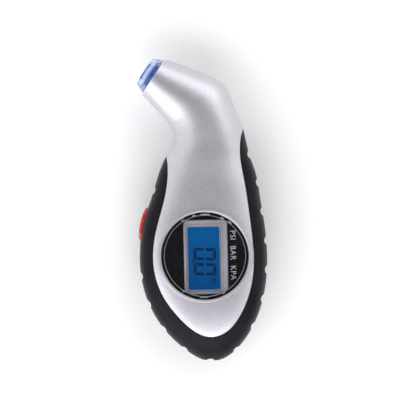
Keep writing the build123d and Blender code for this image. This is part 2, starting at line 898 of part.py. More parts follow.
# ---- Circuit board ---------------------------------------------------------------------------
sensor_y = board_high_y - sensor_y_inset - sensor_size / 2
sensor_end = board_high_y - sensor_y_inset
sensor_half = board_z - mid_z
board_form = case_form(grip_share=1.0, wall_share=1.0, run_on=1.0, gap=board_gap)
shell_side = plunger_depth + plunger_reach
with BuildPart() as main_pcb:
    with BuildSketch(Plane.XY.offset(board_z)):
        with Locations((0, (board_high_y + board_low_y) / 2)):
            Rectangle(far / 4, board_high_y - board_low_y)
    extrude(amount=board_thickness)
    add(board_form, mode=Mode.INTERSECT, clean=False)
    cuts = [bore(spot, board_screw_radius + 0.2, board_z - 1, board_top + 1) for spot in board_spots]
    add(cuts, mode=Mode.SUBTRACT, clean=False)
    with BuildSketch(Plane.XY.offset(board_z)):
        with Locations((hose_x, board_high_y)):
            Rectangle(2 * hose_outer_radius + 1.5, 2 * (board_high_y - sensor_end) + 0.4)
    extrude(amount=board_thickness, mode=Mode.SUBTRACT)
    with BuildSketch(button_plane(shell_side - 0.5)):
        Rectangle(button_length + 2 * button_flange_edge + 2, 4 * button_height)
    extrude(amount=far / 16, mode=Mode.SUBTRACT)

with BuildPart() as pcb_screws:
    with BuildSketch(Plane.XY.offset(board_z)):
        with Locations(*board_spots):
            Circle(board_screw_head)
    extrude(amount=-1.2)
    with BuildSketch(Plane.XY.offset(board_z)):
        with Locations(*board_spots):
            Circle(board_screw_radius)
    extrude(amount=board_thickness + 4.0)
    with BuildSketch(Plane.XY.offset(board_z - 1.2)):
        with Locations(*board_spots):
            Rectangle(board_screw_head * 1.2, board_screw_head * 0.25)
            Rectangle(board_screw_head * 0.25, board_screw_head * 1.2)
    extrude(amount=0.7, mode=Mode.SUBTRACT)

with BuildPart() as pressure_sensor:
    with BuildSketch(Plane.XY.offset(board_z - 2 * sensor_half)):
        with Locations((hose_x, sensor_y)):
            Rectangle(sensor_size, sensor_size)
    extrude(amount=2 * sensor_half)
    chamfer(edges().group_by(Axis.Z)[0], length=0.4)
    with BuildSketch(Plane(origin=(hose_x, sensor_end, mid_z), z_dir=(0, 1, 0))):
        Circle(nipple_radius)
    extrude(amount=nipple_length)
    with BuildSketch(Plane(origin=(hose_x, sensor_end - 3, mid_z), z_dir=(0, 1, 0))):
        Circle(nipple_passage)
    extrude(amount=nipple_length + 4, mode=Mode.SUBTRACT)

chip_x, chip_y = 6.0, -6.0
with BuildPart() as controller_chip:
    with BuildSketch(Plane.XY.offset(board_z)):
        with Locations((chip_x, chip_y)):
            Rectangle(chip_size, chip_size)
    extrude(amount=-chip_thickness)
    with BuildSketch(Plane.XY.offset(board_z)):
        with Locations((chip_x, chip_y)):
            with GridLocations(chip_size / 7, 0, 6, 1):
                Rectangle(0.5, chip_size + 2)
            with GridLocations(0, chip_size / 7, 1, 6):
                Rectangle(chip_size + 2, 0.5)
    extrude(amount=-0.4)

with BuildPart() as smd_parts:
    with BuildSketch(Plane.XY.offset(board_z)):
        with Locations((-7, -6)):
            with GridLocations(3.4, 4.2, 3, 3):
                Rectangle(2.0, 1.25)
        with Locations((9, 6)):
            with GridLocations(3.4, 4.2, 3, 2):
                Rectangle(2.0, 1.25)
    extrude(amount=-0.8)

# ---- Button and switch -----------------------------------------------------------------------
button_layout = Plane(
    origin=(at[1], at[0], mid_z),
    x_dir=(sin(button_tilt), cos(button_tilt), 0),
    z_dir=(0, 0, 1),
)
with BuildPart() as power_button:
    with BuildSketch(button_layout):
        with BuildLine():
            half = button_length / 2
            ThreePointArc((-half, button_edge), (0, button_proud), (half, button_edge))
            Polyline(
                (half, button_edge),
                (half, -button_flange_depth),
                (-half, -button_flange_depth),
                (-half, button_edge),
            )
        make_face()
    extrude(amount=button_height, both=True)
    add(
        oval_prism(button_length, button_height, 0, -button_proud - 1, button_flange_depth),
        mode=Mode.INTERSECT,
    )
    outward = Axis((at[1], at[0], 0), (-press[0], -press[1], 0))
    fillet(faces().sort_by(outward)[-1].edges(), radius=button_round)
    add(flange_pocket(0, button_flange_depth, button_flange_depth + button_flange))
    with BuildSketch(button_plane(button_flange_depth + button_flange)):
        Circle(stem_radius)
    extrude(amount=-(plunger_depth - plunger_gap - button_flange_depth - button_flange))

switch_half = board_z - mid_z
with BuildPart() as side_switch_body:
    with BuildSketch(button_plane(shell_side)):
        Rectangle(switch_width, 2 * switch_half)
    extrude(amount=-switch_depth)
    with BuildSketch(button_plane(shell_side)):
        Circle(plunger_radius + plunger_hole_gap)
    extrude(amount=-(plunger_bury + button_travel + 0.3), mode=Mode.SUBTRACT)

with BuildPart() as switch_plunger:
    with BuildSketch(button_plane(plunger_depth)):
        Circle(plunger_radius)
    extrude(amount=-(plunger_reach + plunger_bury))

# ---- Chuck -----------------------------------------------------------------------------------
bore_end = tip_length - mouth_lead - stem_bore_length
seal_end = bore_end - seal_thickness
with BuildPart() as nozzle_tip:
    with BuildSketch(chuck_profile_plane):
        with BuildLine():
            Polyline(
                (stem_bore_radius, bore_end),
                (stem_bore_radius, tip_length - mouth_lead),
                (stem_bore_radius + mouth_lead * 0.8, tip_length),
                (tip_front_radius - tip_round, tip_length),
            )
            ThreePointArc(
                (tip_front_radius - tip_round, tip_length),
                (tip_front_radius - 0.25 * tip_round, tip_length - 0.33 * tip_round),
                (tip_front_radius + 0.1, tip_length - tip_round * 1.1),
            )
            Polyline(
                (tip_front_radius + 0.1, tip_length - tip_round * 1.1),
                (tip_base_radius, 0.1),
                (skirt_radius, 0.1),
                (skirt_radius, -tip_flange_start),
                (tip_flange_radius, -tip_flange_start),
                (tip_flange_radius, -flange_back),
                (skirt_radius, -flange_back),
                (skirt_radius, -skirt_length),
                (pocket_radius, -skirt_length),
                (pocket_radius, bore_end),
                (stem_bore_radius, bore_end),
            )
        make_face()
    revolve(axis=chuck_axis)

with BuildPart() as nozzle_gasket:
    with BuildSketch(chuck_plane(bore_end)):
        Circle(pocket_radius)
        Circle(seal_hole_radius, mode=Mode.SUBTRACT)
    extrude(amount=-seal_thickness)
    chamfer(edges().filter_by(GeomType.CIRCLE).sort_by(SortBy.RADIUS)[:2], length=0.2)

with BuildPart() as valve_pin:
    with BuildSketch(chuck_plane(bore_end - pin_below_seal)):
        Circle(pin_radius)
    extrude(amount=-(seal_thickness - pin_below_seal))
    with BuildSketch(chuck_plane(seal_end)):
        Circle(pin_base_radius)
        Rectangle(pin_flat, 4 * pin_base_radius, mode=Mode.INTERSECT)
    extrude(amount=-pin_base_length)

ring_start = -skirt_length + 1.2
with BuildPart() as nozzle_core:
    with BuildSketch(chuck_plane(seal_end)):
        Circle(pocket_radius)
    extrude(amount=-(skirt_length + seal_end))
    with BuildSketch(chuck_plane(-skirt_length)):
        Circle(nipple_radius)
    extrude(amount=-nipple_length)
    with BuildSketch(chuck_plane(seal_end)):
        Circle(pin_base_radius)
    extrude(amount=-pin_base_length, mode=Mode.SUBTRACT)
    with BuildSketch(chuck_plane(seal_end)):
        Circle(nipple_passage)
    extrude(amount=-far / 16, mode=Mode.SUBTRACT)
    with BuildSketch(chuck_plane(ring_start)):
        Circle(pocket_radius + 1)
        Circle(pocket_radius - ring_groove_depth, mode=Mode.SUBTRACT)
    extrude(amount=ring_groove_width, mode=Mode.SUBTRACT)

ring_centre = pocket_radius - ring_section
with BuildPart() as core_o_ring:
    with BuildSketch(chuck_profile_plane):
        with Locations((ring_centre, ring_start + ring_groove_width / 2)):
            Circle(ring_section)
    revolve(axis=chuck_axis)

led_lift = skirt_radius - 0.4
with BuildPart() as nozzle_led:
    with BuildSketch(chuck_plane(-skirt_length - 1.0, led_lift)):
        Circle(led_radius)
    extrude(amount=-led_length)
    fillet(edges().filter_by(GeomType.CIRCLE)[0], radius=0.5)
    with BuildSketch(chuck_plane(-skirt_length - 1.0 - led_length, led_lift)):
        Circle(led_radius * 1.25)
    extrude(amount=0.5)

hose_start = along_neck(skirt_length + 0.1)
hose_corner_in = (hose_x - nozzle_end[0]) / -chuck_out[0]
with BuildPart() as air_hose:
    with BuildLine():
        run = FilletPolyline(
            (*hose_start, mid_z),
            (*along_neck(hose_corner_in), mid_z),
            (hose_x, sensor_end + 0.1, mid_z),
            radius=hose_bend,
        )
    with BuildSketch(Plane(origin=run @ 0, z_dir=run % 0)):
        Circle(hose_outer_radius)
        Circle(nipple_radius, mode=Mode.SUBTRACT)
    sweep()

with BuildPart() as hose_clips:
    with BuildSketch(chuck_plane(-skirt_length - nipple_length / 2)):
        Circle(hose_outer_radius + clip_thickness)
        Circle(hose_outer_radius, mode=Mode.SUBTRACT)
    extrude(amount=clip_width / 2, both=True)
    clip_y = sensor_end + nipple_length / 2
    with BuildSketch(Plane(origin=(hose_x, clip_y, mid_z), z_dir=(0, 1, 0))):
        Circle(hose_outer_radius + clip_thickness)
        Circle(hose_outer_radius, mode=Mode.SUBTRACT)
    extrude(amount=clip_width / 2, both=True)


def wire(points, start, end):
    """A round wire along a smooth run through points."""
    with BuildPart() as made:
        with BuildLine():
            run = Spline(*points, tangents=(start, end))
        with BuildSketch(Plane(origin=run @ 0, z_dir=run % 0)):
            Circle(led_wire_radius)
        sweep(is_frenet=True)
    return made.part


led_back = skirt_length + 1.0 + led_length
wire_z = mid_z + led_lift
with BuildPart() as led_wires:
    for side in (-0.55, 0.55):
        first = along_neck(led_back)
        second = along_neck(led_back + 6)
        shift = (chuck_side[0] * side, chuck_side[1] * side)
        line = [
            (first[0] + shift[0], first[1] + shift[1], wire_z),
            (second[0] + shift[0], second[1] + shift[1], wire_z - 0.2),
            (hose_x + side, (shoulder_length + board_high_y) / 2, wire_z - 1.0),
            (hose_x + side, board_high_y - 2.2, board_top + led_wire_radius),
        ]
        inward = (-chuck_out[0], -chuck_out[1], 0)
        add(wire(line, inward, (0, -1, 0)))

# ---- Battery bay -----------------------------------------------------------------------------
with BuildPart() as coin_battery:
    with BuildSketch(Plane.XY.offset(cell_z)):
        with Locations(cell_centre):
            Circle(cell_radius)
    extrude(amount=cell_thickness * 0.8)
    fillet(edges().group_by(Axis.Z)[0], radius=0.5)
    with BuildSketch(Plane.XY.offset(cell_z + cell_thickness * 0.8)):
        with Locations(cell_centre):
            Circle(cell_radius * 0.88)
    extrude(amount=cell_thickness * 0.2)

cell_top = cell_z + cell_thickness
with BuildPart() as battery_spring_contact:
    with BuildSketch(Plane.XY.offset(cell_top + 0.35)):
        with Locations((0, cell_y)):
            Rectangle(contact_width, cell_radius)
    extrude(amount=contact_thickness)
    with BuildSketch(Plane.XY.offset(cell_top)):
        with Locations((0, cell_y - cell_radius / 3)):
            Circle(1.0)
    extrude(amount=0.35)
    with BuildSketch(Plane.XY.offset(cell_top + 0.35)):
        with Locations((0, spring_contact_y)):
            Rectangle(contact_width, contact_thickness)
    extrude(amount=contact_top - cell_top - 0.35)

with BuildPart() as battery_side_contact:
    with BuildSketch(Plane.XY.offset(cell_z + 0.8)):
        with Locations((0, side_contact_y + contact_thickness / 2)):
            Rectangle(contact_width, contact_thickness)
    extrude(amount=contact_top - cell_z - 0.8)

with BuildPart() as battery_leads:
    for y, drift in ((spring_contact_y, 1.2), (side_contact_y + contact_thickness / 2, -1.2)):
        line = [
            (drift, y, contact_top + 0.05),
            (drift * 1.5, y + 0.6, (contact_top + board_z) / 2),
            (drift, y, board_z - 0.05),
        ]
        add(wire(line, (0, 0, 1), (0, 0, 1)))

with BuildPart() as battery_cover:
    with BuildSketch(Plane.XY.offset(cover_sink)):
        with Locations(cell_centre):
            Circle(cover_radius)
    extrude(amount=cover_flange)
    chamfer(edges().group_by(Axis.Z)[0], length=0.3)
    with BuildSketch(Plane.XY.offset(cover_z)):
        with Locations(cell_centre):
            Circle(plug_radius)
    extrude(amount=plug_height)
    for k in range(lug_count):
        turn = k * 360 / lug_count
        add(wedge(lug_radius, lug_angle, turn, cover_z + plug_height - lug_height, cover_z + plug_height))
    with BuildSketch(Plane.XY.offset(cover_sink)):
        with Locations(Location((*cell_centre, 0), (0, 0, 90))):
            SlotOverall(coin_slot_length, coin_slot_width)
    extrude(amount=coin_slot_depth, mode=Mode.SUBTRACT)
    with BuildSketch(Plane.XY.offset(cover_sink + cover_flange / 2 - cover_ring_section)):
        with Locations(cell_centre):
            Circle(cover_radius + 1)
            Circle(cover_radius + cover_ring_proud - 2 * cover_ring_section, mode=Mode.SUBTRACT)
    extrude(amount=2 * cover_ring_section, mode=Mode.SUBTRACT)

with BuildPart() as battery_cover_ring:
    with BuildSketch(Plane.XZ):
        with Locations(
            (cover_radius + cover_ring_proud - cover_ring_section, cover_sink + cover_flange / 2)
        ):
            Circle(cover_ring_section)
    revolve(axis=Axis.Z)
battery_cover_ring.part.position = (*cell_centre, 0)

os.makedirs("parts", exist_ok=True)
pieces = {
    "front_shell": front_shell,
    "rear_shell": rear_shell,
    "rubber_grip": rubber_grip,
    "case_screws": case_screws,
    "dial_lens": dial_lens,
    "lens_gasket": lens_gasket,
    "dial_face": dial_face,
    "lcd_frame": lcd_frame,
    "lcd_glass": lcd_glass,
    "zebra_strips": zebra_strips,
    "backlight_guide": backlight_guide,
    "backlight_led": backlight_led,
    "lcd_holder": lcd_holder,
    "main_pcb": main_pcb,
    "controller_chip": controller_chip,
    "pressure_sensor": pressure_sensor,
    "smd_parts": smd_parts,
    "pcb_screws": pcb_screws,
    "side_switch_body": side_switch_body,
    "switch_plunger": switch_plunger,
    "power_button": power_button,
    "nozzle_tip": nozzle_tip,
    "nozzle_gasket": nozzle_gasket,
    "valve_pin": valve_pin,
    "nozzle_core": nozzle_core,
    "core_o_ring": core_o_ring,
    "nozzle_led": nozzle_led,
    "led_wires": led_wires,
    "air_hose": air_hose,
    "hose_clips": hose_clips,
    "coin_battery": coin_battery,
    "battery_spring_contact": battery_spring_contact,
    "battery_side_contact": battery_side_contact,
    "battery_leads": battery_leads,
    "battery_cover": battery_cover,
    "battery_cover_ring": battery_cover_ring,
}
for name, piece in pieces.items():
    piece.part.label = name
    export_step(piece.part, f"parts/{name}.step")
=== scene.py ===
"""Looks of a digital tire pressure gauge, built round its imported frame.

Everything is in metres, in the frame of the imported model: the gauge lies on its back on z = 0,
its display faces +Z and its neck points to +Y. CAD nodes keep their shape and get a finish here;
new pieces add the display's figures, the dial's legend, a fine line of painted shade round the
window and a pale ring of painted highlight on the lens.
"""

import logging
import math
from dataclasses import dataclass
from enum import Enum

import bpy
import numpy as np
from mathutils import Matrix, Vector

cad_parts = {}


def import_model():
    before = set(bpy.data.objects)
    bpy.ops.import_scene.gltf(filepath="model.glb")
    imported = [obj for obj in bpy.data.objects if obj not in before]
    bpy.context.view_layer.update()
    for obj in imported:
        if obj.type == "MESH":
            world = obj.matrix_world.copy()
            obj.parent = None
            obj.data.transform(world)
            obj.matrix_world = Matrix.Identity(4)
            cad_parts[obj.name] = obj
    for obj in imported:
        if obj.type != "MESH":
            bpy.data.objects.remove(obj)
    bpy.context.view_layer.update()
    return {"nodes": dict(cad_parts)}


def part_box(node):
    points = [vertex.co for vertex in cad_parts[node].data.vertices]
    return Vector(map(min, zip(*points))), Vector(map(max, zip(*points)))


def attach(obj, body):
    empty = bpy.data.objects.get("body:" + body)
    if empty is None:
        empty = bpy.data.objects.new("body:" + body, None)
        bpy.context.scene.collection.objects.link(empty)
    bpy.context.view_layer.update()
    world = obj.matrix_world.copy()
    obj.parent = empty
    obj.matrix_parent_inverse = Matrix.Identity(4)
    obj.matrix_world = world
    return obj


log = logging.getLogger("gauge")
MM = 0.001
Array = np.ndarray
Colour = tuple[float, float, float]
Place = tuple[float, float, float]
Range = tuple[float, float]
Faces = list[list[int]]
Material = bpy.types.Material
Socket = bpy.types.NodeSocket
UNIT_SQUARE = np.array([[0, 0], [1, 0], [1, 1], [0, 1]])


class Weave(Enum):
    """Which way a metal's fine tool marks run."""

    TURNED = "turned"
    BRUSHED = "brushed"


# ---- Node trees --------------------------------------------------------------------------------
class Tree:
    """A material's node tree, with short calls for the nodes that the finishes use."""

    def __init__(self, name: str) -> None:
        """Starts an empty material.

        Args:
            name: The material's name.
        """
        self.material = bpy.data.materials.new(name)
        self.material.use_nodes = True
        self.nodes = self.material.node_tree.nodes
        self.links = self.material.node_tree.links
        self.nodes.clear()
        self.coordinates = self.nodes.new("ShaderNodeTexCoord")

    def link(self, source: Socket, target: Socket) -> None:
        """Joins two sockets."""
        self.links.new(source, target)

    def mapped(self, stretch: Place = (1, 1, 1), turn: float = 0.0) -> Socket:
        """Object coordinates, turned about Z and stretched.

        Args:
            stretch: Scale along each axis.
            turn: Turn about Z in degrees.

        Returns:
            The vector socket.
        """
        node = self.nodes.new("ShaderNodeMapping")
        node.vector_type = "TEXTURE"
        node.inputs["Rotation"].default_value = (0, 0, math.radians(turn))
        node.inputs["Scale"].default_value = tuple(1 / s for s in stretch)
        self.link(self.coordinates.outputs["Object"], node.inputs["Vector"])
        return node.outputs["Vector"]

    def noise(self, vector: Socket, scale: float, detail: float = 3.0,
              roughness: float = 0.55) -> Socket:
        """A noise value from 0 to 1.

        Args:
            vector: Where the noise is read.
            scale: Waves to a metre.
            detail: Octaves.
            roughness: Share that each octave keeps.

        Returns:
            The value socket.
        """
        node = self.nodes.new("ShaderNodeTexNoise")
        node.inputs["Scale"].default_value = scale
        node.inputs["Detail"].default_value = detail
        node.inputs["Roughness"].default_value = roughness
        self.link(vector, node.inputs["Vector"])
        return node.outputs["Fac"]

    def cells(self, vector: Socket, scale: float) -> Socket:
        """A random value for each small cell.

        Args:
            vector: Where the cells are read.
            scale: Cells to a metre.

        Returns:
            The colour socket.
        """
        node = self.nodes.new("ShaderNodeTexVoronoi")
        node.inputs["Scale"].default_value = scale
        self.link(vector, node.inputs["Vector"])
        return node.outputs["Color"]

    def spread(self, value: Socket, low: float, high: float,
               start: float = 0.0, end: float = 1.0) -> Socket:
        """Maps a value's range on to another.

        Args:
            value: What is mapped.
            low: Result at start.
            high: Result at end.
            start: Lowest value.
            end: Highest value.

        Returns:
            The value socket.
        """
        node = self.nodes.new("ShaderNodeMapRange")
        node.inputs["From Min"].default_value = start
        node.inputs["From Max"].default_value = end
        node.inputs["To Min"].default_value = low
        node.inputs["To Max"].default_value = high
        self.link(value, node.inputs["Value"])
        return node.outputs["Result"]

    def blend(self, factor: Socket, first: Colour, second: Colour) -> Socket:
        """Mixes two colours.

        Args:
            factor: Share of the second colour.
            first: Linear colour at 0.
            second: Linear colour at 1.

        Returns:
            The colour socket.
        """
        node = self.nodes.new("ShaderNodeMix")
        node.data_type = "RGBA"
        node.inputs["A"].default_value = (*first, 1)
        node.inputs["B"].default_value = (*second, 1)
        self.link(factor, node.inputs["Factor"])
        return node.outputs["Result"]

    def sum(self, first: Socket, second: Socket, share: float) -> Socket:
        """First value plus a share of the second.

        Args:
            first: The value that is kept whole.
            second: The value that is scaled.
            share: Scale of the second.

        Returns:
            The value socket.
        """
        node = self.nodes.new("ShaderNodeMath")
        node.operation = "MULTIPLY_ADD"
        self.link(second, node.inputs[0])
        node.inputs[1].default_value = share
        self.link(first, node.inputs[2])
        return node.outputs[0]

    def relief(self, height: Socket, depth: float) -> Socket:
        """Bump from a height value.

        Args:
            height: The value, from 0 to 1.
            depth: What 1 stands for, in metres.

        Returns:
            The normal socket.
        """
        node = self.nodes.new("ShaderNodeBump")
        node.inputs["Distance"].default_value = depth
        self.link(height, node.inputs["Height"])
        return node.outputs["Normal"]

    def shader(self, **values: float | Colour) -> bpy.types.ShaderNode:
        """A Principled shader wired to the output.

        Args:
            values: Socket names, with _ for a space, and their constants.

        Returns:
            The shader node.
        """
        node = self.nodes.new("ShaderNodeBsdfPrincipled")
        for name, value in values.items():
            socket = node.inputs[name.replace("_", " ")]
            socket.default_value = (*value, 1) if isinstance(value, tuple) else value
        output = self.nodes.new("ShaderNodeOutputMaterial")
        self.link(node.outputs["BSDF"], output.inputs["Surface"])
        return node

    def let_lamps_through(self, shader: bpy.types.ShaderNode, tint: Colour) -> None:
        """Lets rays from the lamps pass a clear surface straight, tinted.

        Args:
            shader: The surface's shader.
            tint: What the surface leaves of the light.
        """
        path = self.nodes.new("ShaderNodeLightPath")
        clear = self.nodes.new("ShaderNodeBsdfTransparent")
        clear.inputs["Color"].default_value = (*tint, 1)
        mix = self.nodes.new("ShaderNodeMixShader")
        self.link(path.outputs["Is Shadow Ray"], mix.inputs["Fac"])
        self.link(shader.outputs["BSDF"], mix.inputs[1])
        self.link(clear.outputs["BSDF"], mix.inputs[2])
        output = next(n for n in self.nodes if n.type == "OUTPUT_MATERIAL")
        self.link(mix.outputs["Shader"], output.inputs["Surface"])


# ---- Finishes ----------------------------------------------------------------------------------
@dataclass(frozen=True)
class SilverPaint:
    """Satin silver paint: bright flakes in a clear coat over moulded plastic."""

    name: str = "silver_paint"
    base: Colour = (0.5, 0.478, 0.525)
    pale: Colour = (0.65, 0.628, 0.68)
    metallic: float = 0.8
    roughness: Range = (0.36, 0.46)
    coat: float = 0.2
    coat_roughness: float = 0.15
    flakes_per_metre: float = 2400.0
    mottle_per_metre: float = 60.0
    peel_per_metre: float = 1500.0
    peel_depth: float = 1.2e-5

    def make(self) -> Material:
        """Flakes tint the base, a slow noise mottles it and a faint orange peel bends light.

        Returns:
            The material.
        """
        tree = Tree(self.name)
        place = tree.mapped()
        flakes = tree.cells(place, self.flakes_per_metre)
        mottle = tree.noise(place, self.mottle_per_metre, 2)
        peel = tree.noise(place, self.peel_per_metre, 2)
        shader = tree.shader(Metallic=self.metallic, Coat_Weight=self.coat,
                             Coat_Roughness=self.coat_roughness)
        tone = tree.spread(tree.sum(flakes, mottle, 0.6), 0, 1, 0.1, 1.4)
        tree.link(tree.blend(tone, self.base, self.pale), shader.inputs["Base Color"])
        tree.link(tree.spread(mottle, *self.roughness), shader.inputs["Roughness"])
        relief = tree.relief(tree.sum(peel, flakes, 0.35), self.peel_depth)
        tree.link(relief, shader.inputs["Normal"])
        return tree.material


@dataclass(frozen=True)
class Moulding:
    """Moulded plastic or rubber: a fine spark-eroded grain, mottled and faintly worn."""

    name: str
    colour: Colour
    rise: float = 0.25
    roughness: Range = (0.42, 0.55)
    grain_per_metre: float = 2600.0
    grain_depth: float = 8e-6
    mottle_per_metre: float = 140.0
    coat: float = 0.0
    coat_roughness: float = 0.08
    gloss: float = 0.45
    glow: float = 0.0
    glow_colour: Colour = (0.0, 0.0, 0.0)

    def make(self) -> Material:
        """A slow noise lightens the colour by a share; the grain's relief breaks the gloss.

        Where the noise is highest the colour goes the share rise * 0.12 of the way to white.

        Returns:
            The material.
        """
        tree = Tree(self.name)
        place = tree.mapped()
        mottle = tree.noise(place, self.mottle_per_metre, 4)
        grain = tree.noise(place, self.grain_per_metre, 3, 0.65)
        light = tuple(c + (1 - c) * self.rise * 0.12 for c in self.colour)
        shader = tree.shader(Specular_IOR_Level=self.gloss, Coat_Weight=self.coat,
                             Coat_Roughness=self.coat_roughness, Emission_Strength=self.glow,
                             Emission_Color=self.glow_colour)
        tree.link(tree.blend(tree.spread(mottle, 0, 1, 0.3, 0.7), self.colour, light),
                  shader.inputs["Base Color"])
        tree.link(tree.spread(tree.sum(mottle, grain, 0.4), *self.roughness, 0.3, 1.1),
                  shader.inputs["Roughness"])
        tree.link(tree.relief(grain, self.grain_depth), shader.inputs["Normal"])
        return tree.material


@dataclass(frozen=True)
class Metal:
    """Bare or plated metal with a run of fine tool marks."""

    name: str
    colour: Colour
    dark: Colour
    roughness: Range = (0.22, 0.4)
    weave: Weave = Weave.BRUSHED
    marks_per_metre: float = 1800.0
    mark_depth: float = 4e-6
    patches_per_metre: float = 260.0

    def make(self) -> Material:
        """Noise drawn out one way gives the marks; a slow noise dulls the metal in patches.

        Returns:
            The material.
        """
        tree = Tree(self.name)
        stretch = {Weave.BRUSHED: (1, 0.06, 1), Weave.TURNED: (1, 1, 0.1)}
        marks = tree.noise(tree.mapped(stretch[self.weave]), self.marks_per_metre, 3)
        patches = tree.noise(tree.mapped(), self.patches_per_metre, 3)
        shader = tree.shader(Metallic=1.0)
        tree.link(tree.blend(tree.spread(patches, 0, 1, 0.35, 0.75), self.colour, self.dark),
                  shader.inputs["Base Color"])
        tree.link(tree.spread(tree.sum(patches, marks, 0.5), *self.roughness, 0.4, 1.1),
                  shader.inputs["Roughness"])
        tree.link(tree.relief(marks, self.mark_depth), shader.inputs["Normal"])
        return tree.material


@dataclass(frozen=True)
class ClearPlastic:
    """Clear moulded plastic, tinted, with faint flow marks and hairline scratches."""

    name: str
    tint: Colour
    roughness: Range = (0.01, 0.05)
    bend: float = 1.49
    lamp_tint: Colour = (0.92, 0.93, 0.95)
    ripple_depth: float = 3e-6
    ripples_per_metre: float = 300.0
    hairs_per_metre: float = 2200.0
    hair_turn: float = 35.0
    glow: float = 0.0
    glow_colour: Colour = (0.0, 0.0, 0.0)

    def make(self) -> Material:
        """A bending shader whose gloss is broken by slow ripples; lamps shine straight through.

        Returns:
            The material.
        """
        tree = Tree(self.name)
        place = tree.mapped()
        ripples = tree.noise(place, self.ripples_per_metre, 3)
        hairs = tree.noise(tree.mapped((1, 0.05, 1), self.hair_turn), self.hairs_per_metre, 2)
        shader = tree.shader(IOR=self.bend, Transmission_Weight=1.0, Emission_Strength=self.glow,
                             Emission_Color=self.glow_colour)
        pale = tuple(min(1.0, c * 1.04) for c in self.tint)
        tree.link(tree.blend(ripples, self.tint, pale), shader.inputs["Base Color"])
        tree.link(tree.spread(tree.sum(ripples, hairs, 0.6), *self.roughness, 0.5, 1.2),
                  shader.inputs["Roughness"])
        tree.link(tree.relief(ripples, self.ripple_depth), shader.inputs["Normal"])
        tree.let_lamps_through(shader, self.lamp_tint)
        return tree.material


@dataclass(frozen=True)
class LitDisplay:
    """A display lit from behind: blue, brighter towards its lamp, with a faint weave of rows."""

    name: str = "lit_display"
    deep: Colour = (0.0, 0.052, 0.18)
    bright: Colour = (0.0, 0.096, 0.29)
    dark: Colour = (0.0002, 0.01, 0.04)
    glow: float = 0.9
    gloss: float = 0.12
    roughness: Range = (0.1, 0.22)
    rows_per_metre: float = 1400.0
    clouds_per_metre: float = 120.0
    lamp_y: float = 13 * MM
    far_y: float = -15 * MM

    def make(self) -> Material:
        """Brightness falls from the lamp's end; drawn out noise gives rows, and clouds mottle it.

        Returns:
            The material.
        """
        tree = Tree(self.name)
        place = tree.mapped()
        split = tree.nodes.new("ShaderNodeSeparateXYZ")
        tree.link(place, split.inputs["Vector"])
        along = tree.spread(split.outputs["Y"], 0, 1, self.far_y, self.lamp_y)
        rows = tree.noise(tree.mapped((0.15, 1, 1)), self.rows_per_metre, 2)
        clouds = tree.noise(place, self.clouds_per_metre, 2)
        amount = tree.sum(tree.sum(along, rows, 0.35), clouds, 0.4)
        tone = tree.blend(tree.spread(amount, 0, 1, 0.2, 1.5), self.deep, self.bright)
        shader = tree.shader(Base_Color=self.dark, Specular_IOR_Level=self.gloss,
                             Emission_Strength=self.glow)
        tree.link(tree.spread(rows, *self.roughness), shader.inputs["Roughness"])
        tree.link(tone, shader.inputs["Emission Color"])
        return tree.material


@dataclass(frozen=True)
class Circuit:
    """Green solder mask over copper tracks that show through as paler lines."""

    name: str = "circuit_board"
    mask: Colour = (0.006, 0.07, 0.028)
    track: Colour = (0.012, 0.14, 0.05)
    roughness: Range = (0.25, 0.45)
    coat: float = 0.3
    tracks_per_metre: float = 420.0
    track_height: float = 2e-5
    grain_per_metre: float = 1800.0

    def make(self) -> Material:
        """Cells, some paler and higher than others, stand for tracks; a fine noise roughens them.

        Returns:
            The material.
        """
        tree = Tree(self.name)
        place = tree.mapped()
        tracks = tree.cells(place, self.tracks_per_metre)
        grain = tree.noise(place, self.grain_per_metre, 3)
        shader = tree.shader(Coat_Weight=self.coat)
        tree.link(tree.blend(tree.spread(tracks, 0, 1, 0.45, 0.55), self.mask, self.track),
                  shader.inputs["Base Color"])
        tree.link(tree.spread(grain, *self.roughness), shader.inputs["Roughness"])
        tree.link(tree.relief(tracks, self.track_height), shader.inputs["Normal"])
        return tree.material


# ---- Meshes ------------------------------------------------------------------------------------
def mesh_of(name: str, points: Array, faces: Faces, smooth: bool = False) -> bpy.types.Mesh:
    """Makes a mesh.

    Args:
        name: The mesh's name.
        points: Corner places, one row each, in metres.
        faces: Corner numbers of each face.
        smooth: Whether its faces shade as one.

    Returns:
        The mesh.
    """
    mesh = bpy.data.meshes.new(name)
    mesh.from_pydata(points.tolist(), [], faces)
    mesh.polygons.foreach_set("use_smooth", np.full(len(mesh.polygons), smooth))
    return mesh


def add_piece(name: str, mesh: bpy.types.Mesh, body: str,
              material: Material) -> None:
    """Puts a mesh in the scene as a piece at the origin that rides on a body.

    Args:
        name: The piece's name.
        mesh: Its mesh, in the gauge's frame.
        body: The CAD body that it moves with.
        material: Its material.
    """
    mesh.materials.clear()
    mesh.materials.append(material)
    mesh.update()
    made = bpy.data.objects.new(name, mesh)
    bpy.context.scene.collection.objects.link(made)
    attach(made, body)
    log.info("%s: %d faces, rides on %s", name, len(mesh.polygons), body)


def slabs(outlines: list[Array], low: float, high: float) -> tuple[Array, Faces]:
    """Upright slabs: each outline is carried from low to high, with a cap at both ends.

    Args:
        outlines: Flat outlines, counter-clockwise, one (x, y) row per corner.
        low: Height of the undersides.
        high: Height of the tops.

    Returns:
        Corner places and faces.
    """
    points, faces, start = [], [], 0
    for outline in outlines:
        n = len(outline)
        for z in (low, high):
            points.append(np.column_stack([outline, np.full(n, z)]))
        ring = np.arange(n)
        after = (ring + 1) % n
        walls = np.column_stack([ring, after, after + n, ring + n]) + start
        faces += walls.tolist()
        faces.append((ring[::-1] + start).tolist())
        faces.append((ring + n + start).tolist())
        start += 2 * n
    return np.vstack(points), faces


